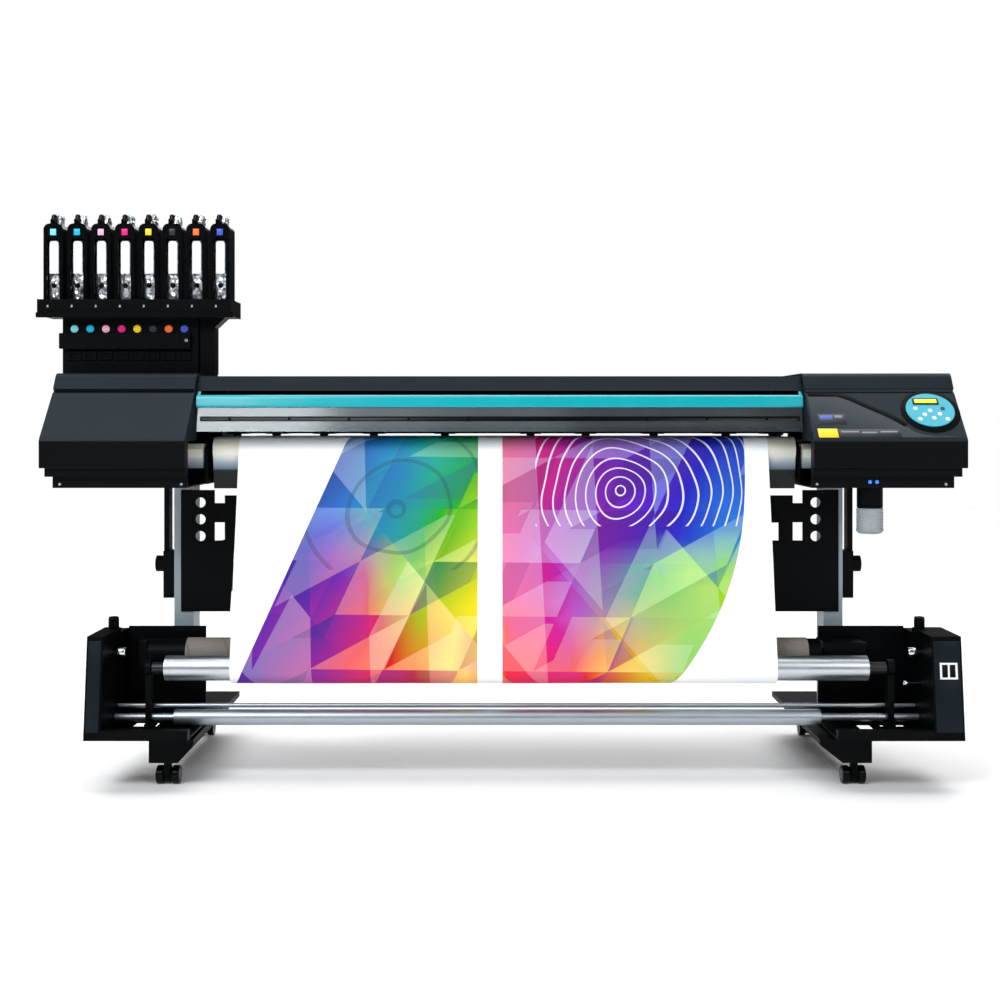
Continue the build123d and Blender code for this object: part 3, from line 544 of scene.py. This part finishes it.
# white to the camera, and a dim upward fade for what the surfaces mirror
skyLight = {"low": (0.05, 0.05, 0.055, 1), "high": (0.8, 0.8, 0.8, 1), "start": 0.12, "strength": 0.5}
sky = world.node_tree
dim = sky.nodes["Background"]
pure = sky.nodes.new("ShaderNodeBackground")
mixer = sky.nodes.new("ShaderNodeMixShader")
ray = sky.nodes.new("ShaderNodeLightPath")
skyPlace = sky.nodes.new("ShaderNodeTexCoord")
skyAxes = sky.nodes.new("ShaderNodeSeparateXYZ")
skyRamp = sky.nodes.new("ShaderNodeValToRGB")
sky.links.new(skyPlace.outputs["Generated"], skyAxes.inputs[0])
sky.links.new(skyAxes.outputs["Z"], skyRamp.inputs[0])
lowStop, highStop = skyRamp.color_ramp.elements
lowStop.color, highStop.color, lowStop.position = skyLight["low"], skyLight["high"], skyLight["start"]
sky.links.new(skyRamp.outputs[0], dim.inputs[0])
dim.inputs[1].default_value = skyLight["strength"]
pure.inputs[0].default_value, pure.inputs[1].default_value = (1, 1, 1, 1), 1.0
sky.links.new(ray.outputs["Is Camera Ray"], mixer.inputs[0])
sky.links.new(dim.outputs[0], mixer.inputs[1])
sky.links.new(pure.outputs[0], mixer.inputs[2])
sky.links.new(mixer.outputs[0], sky.nodes["World Output"].inputs[0])


print("web")
web = {
    "width": 1524.0, "thick": 0.5, "bend": 37.4, "loopBend": 41.0, "lean": 13.3, "rise": 11.0,
    "core": (-192.0, 343.0), "away": 52.9, "supply": 600.0, "nose": 925.0, "rearNose": 160.0,
    "frontNose": -140.0, "steps": 150, "columns": 120,
}


def webRoute():  # the sheet's middle line in (y, z), rounded at its corners
    level = web["nose"] + web["bend"]
    lean, rise = math.radians(web["lean"]), math.radians(web["rise"])
    cornerY = web["frontNose"] - web["bend"] * math.tan((math.pi / 2 - lean) / 2)
    endY = web["core"][0] + web["away"] * math.sin(rise)
    endZ = web["core"][1] - web["away"] * math.cos(rise)
    drop = (level - endZ + (endY - cornerY) * math.tan(rise)) / (1 - math.tan(lean) * math.tan(rise))
    backY = web["rearNose"] + web["bend"]
    corners = [(backY, web["supply"]), (backY, level), (cornerY, level),
               (cornerY - math.tan(lean) * drop, level - drop), (endY, endZ)]
    bends = [web["bend"], web["bend"], web["loopBend"]]
    line = [Vector(corners[0])]
    for before, corner, after, radius in zip(corners, corners[1:], corners[2:], bends):
        before, corner, after = Vector(before), Vector(corner), Vector(after)
        inward, outward = (before - corner).normalized(), (after - corner).normalized()
        half = inward.angle(outward) / 2
        middle = corner + (inward + outward).normalized() * radius / math.sin(half)
        start = corner + inward * radius / math.tan(half)
        end = corner + outward * radius / math.tan(half)
        swing = (start - middle).angle_signed(end - middle)
        for step in range(13):
            turn = -swing * step / 12
            arm = start - middle
            line.append(middle + Vector((arm.x * math.cos(turn) - arm.y * math.sin(turn),
                                         arm.x * math.sin(turn) + arm.y * math.cos(turn))))
    line.append(Vector(corners[-1]))
    return line


def spread(line, count):  # the same line as count + 1 evenly spaced points
    lengths = [0.0]
    for a, b in zip(line, line[1:]):
        lengths.append(lengths[-1] + (b - a).length)
    points, at = [], 0
    for step in range(count + 1):
        wanted = lengths[-1] * step / count
        while at < len(line) - 2 and lengths[at + 1] < wanted:
            at += 1
        gap = lengths[at + 1] - lengths[at]
        points.append(line[at].lerp(line[at + 1], (wanted - lengths[at]) / gap if gap else 0.0))
    return points, lengths[-1]


route, webLength = spread(webRoute(), web["steps"])
print("web length", round(webLength))
bpy.ops.object.select_all(action="DESELECT")
bpy.ops.mesh.primitive_grid_add(x_subdivisions=web["columns"], y_subdivisions=web["steps"], size=1)
webSheet = fresh("printedMedia")
chart = webSheet.data.uv_layers[0]
chart.name = "webMap"
for loop in webSheet.data.loops:
    flatPoint = webSheet.data.vertices[loop.vertex_index].co
    chart.data[loop.index].uv = (flatPoint.x + 0.5, flatPoint.y + 0.5)
for corner in webSheet.data.vertices:
    share, along = corner.co.x, corner.co.y + 0.5
    step = min(round(along * web["steps"]), web["steps"])
    y, z = route[step]
    before, after = route[max(step - 1, 0)], route[min(step + 1, web["steps"])]
    run = (after - before).normalized()
    free = max(0.0, min(1.0, (along - 0.45) / 0.2)) * max(0.0, min(1.0, (0.97 - along) / 0.1))
    ripple = 1.8 * free * math.sin(share * 11.0 + along * 9.0) * math.sin(along * 14.0 + share * 3.0)
    corner.co = spot(share * web["width"], y + run.y * ripple, z - run.x * ripple)
thick = webSheet.modifiers.new("thickness", "SOLIDIFY")
thick.thickness, thick.offset = web["thick"] / 1000, 0
bpy.context.view_layer.objects.active = webSheet
bpy.ops.object.modifier_apply(modifier=thick.name)
bpy.ops.object.mode_set(mode="EDIT")
bpy.ops.mesh.select_all(action="SELECT")
bpy.ops.mesh.normals_make_consistent(inside=False)
bpy.ops.object.mode_set(mode="OBJECT")
finished(webSheet, "root", printedPaper)
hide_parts("media_web")
webLength / 1000


print("ink rack")
rack = {
    "first": -1335.0, "pitch": 70.6, "count": 8, "front": -58.0, "dotFirst": -1271, "dotPitch": 46.5,
    "inks": [(120, 214, 226), (0, 176, 220), (240, 170, 200), (228, 0, 120), (246, 208, 20), (30, 30, 34),
             (240, 110, 40), (60, 80, 190)],
}
inkTints = [moulded("ink" + str(i + 1), tint(*colour), 0.4, 900, 0.00002, 0.04)
            for i, colour in enumerate(rack["inks"])]
pouch = {"half": 23.0, "deep": 24.0, "low": 1331.0, "high": 1556.0, "middle": -17.0}


def crumpled(bag, centre, seed):  # the block swollen like a filled foil bag, then creased
    middle = spot(centre, pouch["middle"], (pouch["low"] + pouch["high"]) / 2)
    tall = (pouch["high"] - pouch["low"]) / 2000
    for corner in bag.data.vertices:
        place = corner.co - middle
        up, side = place.z / tall, place.x / (pouch["half"] / 1000)
        full = (1 - abs(up) ** 3.5) ** 0.5 if abs(up) < 1 else 0.0
        edge = max(0.0, 1 - abs(side) ** 4) ** 0.4
        place.y *= 0.1 + 0.86 * full * (0.35 + 0.65 * edge)
        place.x *= 0.93 + 0.07 * full
        crumple = noise.fractal((corner.co * 42 + Vector((seed * 3.1, 0, seed))), 0.8, 2.2, 4)
        fold = abs(noise.noise(Vector((place.x * 30 + seed, 0, place.z * 55))))
        place.y += math.copysign(1, place.y) * 0.0022 * (crumple - fold * 1.4) * min(1.0, full + 0.2)
        place.x += 0.0008 * crumple * full
        corner.co = middle + place
    return finished(bag, "root", foil, 0, 28)


first, pitch, count = rack["first"], rack["pitch"], rack["count"]
half, deep, pouchY = pouch["half"], pouch["deep"], pouch["middle"]
bagBlock = startBlock("inkPouch1", (first - half, pouchY - deep, pouch["low"]),
                      (first + half, pouchY + deep, pouch["high"]))
bpy.ops.object.mode_set(mode="EDIT")
bpy.ops.mesh.select_all(action="SELECT")
bpy.ops.mesh.subdivide(number_cuts=23)
bpy.ops.object.mode_set(mode="OBJECT")
for i, bag in enumerate(row("inkPouch", bagBlock, count, pitch)):
    crumpled(bag, first + pitch * i, i + 1)
    if i == 0:
        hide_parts("ink_pouches")

neckLine = [
    (0, 19), (14, 18), (26, 12), (34, 10.5), (52, 10.5), (53, 12), (66, 12), (67, 9), (76, 8), (80, 5)]
neck = turned("pouchNeck1", spot(first - 9, pouchY, 1546), (0, 0, 1), neckLine, 24)
for piece in row("pouchNeck", neck, count, pitch):
    finished(piece, "root", gloss, 0.5)
cuffLine = [(0, 13), (16, 14), (30, 14.5), (45, 14), (54, 14.5), (60, 12.5), (66, 13), (72, 10), (77, 5)]
cuff = turned("pouchCuff1", spot(first, pouchY + 3, 1549), (0.1, 0.05, 1), cuffLine, 20)
for i, piece in enumerate(row("pouchCuff", cuff, count, pitch)):
    for corner in piece.data.vertices:
        corner.co += noise.noise_vector(corner.co * 70 + Vector((i, 0, 0))) * 0.0035
    finished(piece, "root", foil, 0, 20)

chip = startBlock("colourChip1", (first - 9, rack["front"] - 1.4, 1559),
                  (first + 9, rack["front"], 1578))
for piece, inkTint in zip(row("colourChip", chip, count, pitch), inkTints):
    finished(piece, "root", inkTint, 0.8)
dot = turned("cartridgeDot1", spot(rack["dotFirst"], -60, 1281), (0, -1, 0),
             [(0, 11.5), (1.2, 11.5), (2.0, 10)], 28)
for piece, inkTint in zip(row("cartridgeDot", dot, count, rack["dotPitch"]), inkTints):
    finished(piece, "root", inkTint)
card = plate("inkCard", [spot(first + x, -49.5, z) for x, z in (
    (-13.5, 1446), (13.5, 1446), (13.5, 1536), (9, 1543), (-9, 1543), (-13.5, 1536))], (0, 0.0008, 0))
finished(together("inkCards", row("inkCard", card, count, pitch)), "root", whiteCard, 0.2)
tick = startBlock("trayTick", (first - 6, -98.8, 1342), (first - 1, -97.6, 1349))
finished(together("trayMarks", row("trayTick", tick, count, pitch)), "root", paleGrey, 0.3)
grip = turned("pouchClip", spot(first + 2, -56, 1410), (0, -1, 0),
              [(0, 8), (2, 8), (3.5, 6), (5, 6)], 20)
finished(together("pouchClips", row("pouchClip", grip, count, pitch)), "root", gloss, 0.4)


print("operator panel")
finished(startBlock("coverGrooveLeft", (-1281, -204.5, 1091.4), (-887, -199.2, 1097.6)),
         "root", blackPlastic, 0.6)
finished(startBlock("coverGrooveRight", (864, -206.5, 1090.8), (1283, -199.2, 1098.2)),
         "root", slate, 1.2)
seamLine = [(870, 6), (940, 6), (958, 9), (986, 23), (1026, 50), (1067, 76), (1100, 100), (1126, 124)]
collar = {"across": 1205, "down": 73, "halfWide": 83, "halfHigh": 79, "sides": 72, "proud": 0.0022}
ringTurns = [2 * math.pi * i / collar["sides"] for i in range(collar["sides"])]
ringPoints = [onSlope(collar["across"] + collar["halfWide"] * math.cos(turn),
                      collar["down"] - collar["halfHigh"] * math.sin(turn)) for turn in ringTurns]
finished(plate("padCollar", ringPoints, slopeOut * collar["proud"]), "root", blackPlastic, 0.9)


def ribbon(name, line, wide, high):  # a flat band along a line on the slope
    left, right = [], []
    for i, (across, down) in enumerate(line):
        before, after = line[max(i - 1, 0)], line[min(i + 1, len(line) - 1)]
        run = Vector((after[0] - before[0], after[1] - before[1])).normalized()
        left.append(onSlope(across + run.y * wide / 2, down - run.x * wide / 2))
        right.append(onSlope(across - run.y * wide / 2, down + run.x * wide / 2))
    return plate(name, left + right[::-1], slopeOut * high)


def smoothLine(points, parts=6):  # a Catmull line through the points
    made = []
    full = [points[0]] + points + [points[-1]]
    for p0, p1, p2, p3 in zip(full, full[1:], full[2:], full[3:]):
        for step in range(parts):
            t = step / parts
            made.append(tuple(
                0.5 * (2 * b + (c - a) * t + (2 * a - 5 * b + 4 * c - d) * t * t
                       + (3 * b - a - 3 * c + d) * t ** 3)
                for a, b, c, d in zip(p0, p1, p2, p3)))
    return made + [points[-1]]


seam = smoothLine(seamLine)
finished(ribbon("coverSeam", seam, 16, 0.0012), "root", blackPlastic, 0.3)
inlayLine = [(across, down + 9) for across, down in seam]
inlayLine += [(1130, 134), (1146, 150), (1168, 160), (1200, 166), (1240, 166), (1262, 168), (1262, 172),
              (866, 172), (866, 13)]
inlay = plate("slopeInlay", [onSlope(*point) for point in inlayLine], slopeOut * 0.0008)
finished(inlay, "root", inlaySlate, 0.3)

yellow = moulded("labelYellow", tint(240, 206, 20), 0.45, 900, 0.00002, 0.04)
labelGrey = moulded("labelGrey", tint(120, 126, 134), 0.45, 900, 0.00002, 0.05)
labelDark = moulded("labelDark", tint(18, 22, 30), 0.4, 900, 0.00002, 0.05)
labelBlue = moulded("labelBlue", tint(70, 90, 170), 0.4, 900, 0.00002, 0.05)


def label(name, across, down, finish, low=0.0008, high=0.0004):
    corners = [(across[0], down[0]), (across[1], down[0]), (across[1], down[1]), (across[0], down[1])]
    made = plate(name, [onSlope(a, d, low * 1000) for a, d in corners], slopeOut * high)
    return finished(made, "root", finish, 0.15)


label("blankLabelUpper", (884, 961), (82, 122), labelDark)
label("blankLabelTone", (889, 925), (88, 104), labelBlue, 0.0012)
label("blankLabelBlock", (930, 952), (88, 98), labelGrey, 0.0012)
label("blankLabelYellow", (876, 931), (138, 171), yellow)
label("blankLabelStrip", (933, 1106), (140, 171), labelDark)
for i, (start, end) in enumerate([(940, 990), (998, 1040), (1050, 1098)]):
    step = 3 * (i % 2)
    label("blankLabelLine" + str(i + 1), (start, end), (147 + step, 153 + step), labelGrey, 0.0012)
label("displayFrame", (1160, 1232), (27, 50), labelDark, 0.005, 0.0022)
displayYellow = glowing("displayGlow", tint(236, 226, 30), 0.9)
label("displayGlow", (1165, 1227), (32, 45), displayYellow, 0.0072, 0.0006)

ledBlue = glowing("ledBlue", tint(36, 100, 255), 1.8)
led = turned("statusLed1", spot(1023.5, -300, 838), (0, -1, 0), [(0, 5), (1.5, 5), (3, 3.5), (3.6, 1.5)], 20)
for piece in row("statusLed", led, 2, 19.5):
    finished(piece, "root", ledBlue)


def screws(name, places, toward, radius, body, finish):  # one screw head, copied to every place
    headLine = [(0, radius), (1.2, radius), (2.2, radius * 0.72), (2.2, radius * 0.4), (1.0, radius * 0.34)]
    head = turned(name, places[0], toward, headLine, 18)
    made = [head] + [again(head, (place - places[0]) * 1000, name) for place in places[1:]]
    return finished(together(name, made), body, finish)


screws("bayBarScrew", [spot(-937, -74, 1246)], (0, -1, 0), 5, "root", rollerMetal)
screws("coverFootScrews", [spot(x, -300, 832) for x in (876, 1236, -900, -1240)], (0, -1, 0), 4,
       "root", rollerMetal)
# a dark strip and its screws across the leaning window
pane = {"topY": -211, "topZ": 1046, "runY": 26, "runZ": 68}
stripLine = [spot(x, pane["topY"] - pane["runY"] * (pane["topZ"] - z) / pane["runZ"] - 0.2, z) for x, z in (
    (-864, 1008), (844, 1008), (844, 1021), (-864, 1021))]
finished(plate("windowStrip", stripLine, (0, -0.0011, 0.0004)), "front_cover", gloss, 0.3)
screws("windowScrews", [spot(-780 + 170 * i, -225.6, 1014) for i in range(10)], (0, -0.93, 0.36), 4,
       "front_cover", blackPlastic)
screws("columnScrews", [spot(-866, -5, z) for z in (1290, 1180)], (0, -1, 0), 4, "root",
       rollerMetal)


print("take-up")


# the housings' leaning front: its top edge, and what it runs forward and down from there
housing = {"topY": -391, "topZ": 420, "runY": 37, "runZ": 277, "out": (0, -0.991, 0.132)}


def slantPanel(name, left, right, low, high, proud=0.2, thick=1.8):  # a thin panel on that front
    def corner(x, z):
        return spot(x, housing["topY"] - housing["runY"] * (housing["topZ"] - z) / housing["runZ"] - proud, z)
    return plate(name, [corner(left, low), corner(right, low), corner(right, high), corner(left, high)],
                 Vector(housing["out"]) * thick / 1000)


panel = {"low": 165, "high": 408, "left": 1171, "right": 1243}
hole = {"left": 1186, "right": 1234, "low": 306, "high": 350}  # round the two rocker switches
finished(slantPanel("takeupPanelLeft", -1132, -1097, panel["low"], panel["high"]),
         "root", darkSlate, 0.6)
finished(together("takeupPanelRight", [
    slantPanel("panelPart", panel["left"], panel["right"], panel["low"], hole["low"]),
    slantPanel("panelPart", panel["left"], panel["right"], hole["high"], panel["high"]),
    slantPanel("panelPart", panel["left"], hole["left"], hole["low"], hole["high"]),
    slantPanel("panelPart", hole["right"], panel["right"], hole["low"], hole["high"])]),
    "root", darkSlate, 0.3)
bezelBars = [
    (1186, 1234, 345, 350), (1186, 1234, 306, 311),
    (1186, 1191.6, 311, 345), (1228.4, 1234, 311, 345), (1207.6, 1212.4, 311, 345)]
finished(together("switchBezel", [slantPanel("bezelBar", *bar, thick=3.2) for bar in bezelBars]),
         "root", keyWhite, 0.4)

knobLine = [(0, 6), (12, 6), (13, 11), (16, 13), (34, 13), (37, 11.5), (38, 8)]
for name, base, way in (("clampKnobLeft", (-1092, -300, 363), 1), ("clampKnobRight", (1166, -300, 363), -1)):
    finished(turned(name, spot(*base), (way, 0, 0), knobLine, 28), "root", chrome, 0.5)
pinLine = [(0, 5), (34, 5), (35, 7), (50, 7), (52, 5)]
finished(turned("clampPinRight", spot(1166, -300, 276), (-1, 0, 0), pinLine, 24),
         "root", chrome, 0.4)

capLine = [(0, 13), (1, 14.6), (4, 14.6), (6, 13), (7, 8)]
lockCap = turned("lockCapLeft", spot(-1108, -230, 445.8), (0, 0, 1), capLine, 28)
for piece in (lockCap, again(lockCap, (2290, 0, 0), "lockCapRight")):
    finished(piece, "root", gloss, 0.3)

bottle = {"x": 1036.0, "y": -250.0, "low": 690.0, "ring": 760.0, "ribs": 6}
ribs = [(0, 26), (2, 33), (8, 37.6)]
for i in range(bottle["ribs"]):
    ribs += [(14 + 9 * i, 37.6), (16 + 9 * i, 36.2), (19 + 9 * i, 36.2), (21 + 9 * i, 37.6)]
ribs += [(70, 37.6), (73, 33), (76, 29), (107, 29), (108, 27)]
foot = spot(bottle["x"], bottle["y"], bottle["low"])
wasteBottle = finished(turned("wasteBottleBody", foot, (0, 0, 1), ribs, 48), "root",
                       bottlePlastic)
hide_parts("waste_bottle")
ring = turned("wasteBottleCollar", spot(bottle["x"], bottle["y"], bottle["ring"]), (0, 0, 1),
              [(0, 31), (0.5, 34), (4, 34), (4.5, 31)], 40)
finished(ring, "root", blackPlastic)

firstWheel = None
for name in ("front_left", "front_right", "rear_left", "rear_right"):
    low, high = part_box("caster_wheels_" + name)
    middle = (low + high) / 2
    if firstWheel:
        piece = again(caps, (middle - firstWheel) * 1000, "wheelCaps_" + name)
    else:
        radius, firstWheel = (high.z - low.z) * 500, middle
        wheelLine = [
            (0, radius * 0.6), (0.8, radius * 0.56), (1.4, radius * 0.3), (2.2, radius * 0.14), (2.6, 2)]
        piece = caps = together("wheelCaps_" + name, [
            turned("wheelCap", Vector((end - way * 0.0004, middle.y, middle.z)), (way, 0, 0), wheelLine, 32)
            for end, way in ((low.x, -1), (high.x, 1))])
    finished(piece, "wheels_" + name, greyCoat)

print("rear details")
louvres = {"count": 7, "pitch": 14, "low": 985, "high": 991, "left": -1190, "right": -1010, "rear": 330.4,
           "toRightCover": 2200}
louvre = plate("louvre", [spot(x, louvres["rear"], z) for x, z in (
    (louvres["left"], louvres["low"]), (louvres["right"], louvres["low"]),
    (louvres["right"], louvres["high"]), (louvres["left"], louvres["high"]))], (0, 0.0035, -0.002))
stack = [louvre] + [again(louvre, (0, 0, louvres["pitch"] * i), "louvre") for i in range(1, louvres["count"])]
stackRight = [again(piece, (louvres["toRightCover"], 0, 0), "louvreRight") for piece in stack]
finished(together("rearLouvres", stack), "root", blackPlastic, 0.5)
finished(together("rearLouvresRight", stackRight), "root", blackPlastic, 0.5)
screws("topCoverScrews", [spot(-840 + 210 * i, 300, 1120) for i in range(9)], (0, 1, 0), 5,
       "root", rollerMetal)
